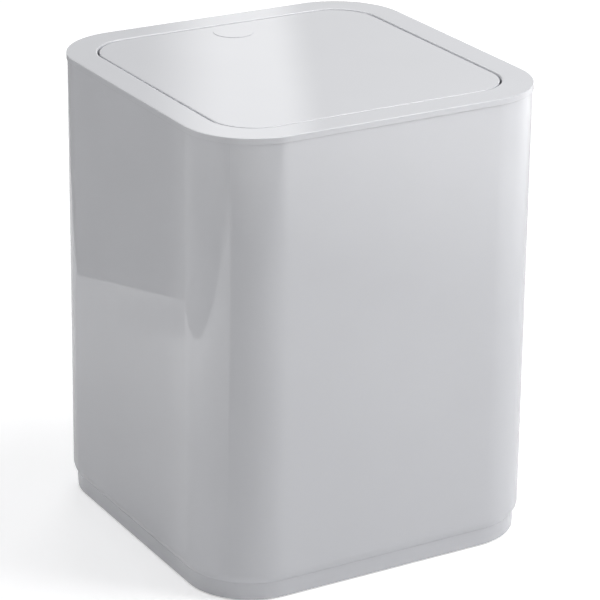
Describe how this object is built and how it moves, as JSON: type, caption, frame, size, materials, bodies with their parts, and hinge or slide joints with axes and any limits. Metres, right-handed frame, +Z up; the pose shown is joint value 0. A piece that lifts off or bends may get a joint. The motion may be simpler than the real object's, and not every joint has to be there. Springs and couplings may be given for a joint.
{
  "type": "push top countertop bin",
  "caption": "Square countertop bin with rounded corners, a flush counterweighted push lid, a lift-off head, a lift-out bucket and an inset plinth.",
  "frame": {"origin": "centre of the footprint on the worktop, at the underside of the rubber feet", "axes": "+Z up; -Y is the front; the lid turns about an axis parallel to X"},
  "size_m": [0.1908, 0.1908, 0.24],
  "materials": {
    "shell": "gloss moulded, pearl white",
    "plinth": "satin gloss moulded, pearl white",
    "head": "gloss moulded, pearl white",
    "lid": "gloss moulded, pearl white",
    "tray": "matt moulded",
    "bucket": "satin moulded, light grey",
    "grip": "satin moulded, mid grey",
    "nylon": "natural nylon",
    "pin_steel": "ground",
    "bar_steel": "bright drawn",
    "screw_steel": "zinc plated",
    "wire_steel": "bright drawn wire",
    "bumper_rubber": "matt",
    "pad_rubber": "matt"
  },
  "bodies": {
    "housing": {"outer_shell": "shell", "base_plinth": "plinth", "base_screws": "screw_steel", "foot_pad_front_left": "pad_rubber", "foot_pad_front_right": "pad_rubber", "foot_pad_back_left": "pad_rubber", "foot_pad_back_right": "pad_rubber"},
    "head": {"head_frame": "head", "pivot_pin_left": "pin_steel", "pivot_pin_right": "pin_steel"},
    "lid": {"lid_panel": "lid", "lid_carrier": "tray", "carrier_screws": "screw_steel", "pivot_bush_left": "nylon", "pivot_bush_right": "nylon", "counterweight_bar": "bar_steel", "stop_bumper_left": "bumper_rubber", "stop_bumper_right": "bumper_rubber"},
    "bucket": {"inner_bucket": "bucket"},
    "bail": {"bucket_bail": "wire_steel", "bail_grip": "grip"}
  },
  "joints": [
    {"name": "head_lift", "type": "slide", "parent": "housing", "child": "head", "axis": [0, 0, 1], "range_m": [0, 0.5]},
    {"name": "lid_swing", "type": "hinge", "parent": "head", "child": "lid", "pos_m": [0, 0, 0.2322], "axis": [1, 0, 0], "range_deg": [-60, 60]},
    {"name": "bucket_lift", "type": "slide", "parent": "housing", "child": "bucket", "axis": [0, 0, 1], "range_m": [0, 0.26]},
    {"name": "bail_swing", "type": "hinge", "parent": "bucket", "child": "bail", "pos_m": [0, 0, 0.2022], "axis": [-1, 0, 0], "range_deg": [0, 90]}
  ],
  "couplings": [
    {"joint": "bucket_lift", "follows": "head_lift", "ratio": 0.52},
    {"joint": "bail_swing", "follows": "head_lift", "rad_per_m": 3.14}
  ]
}
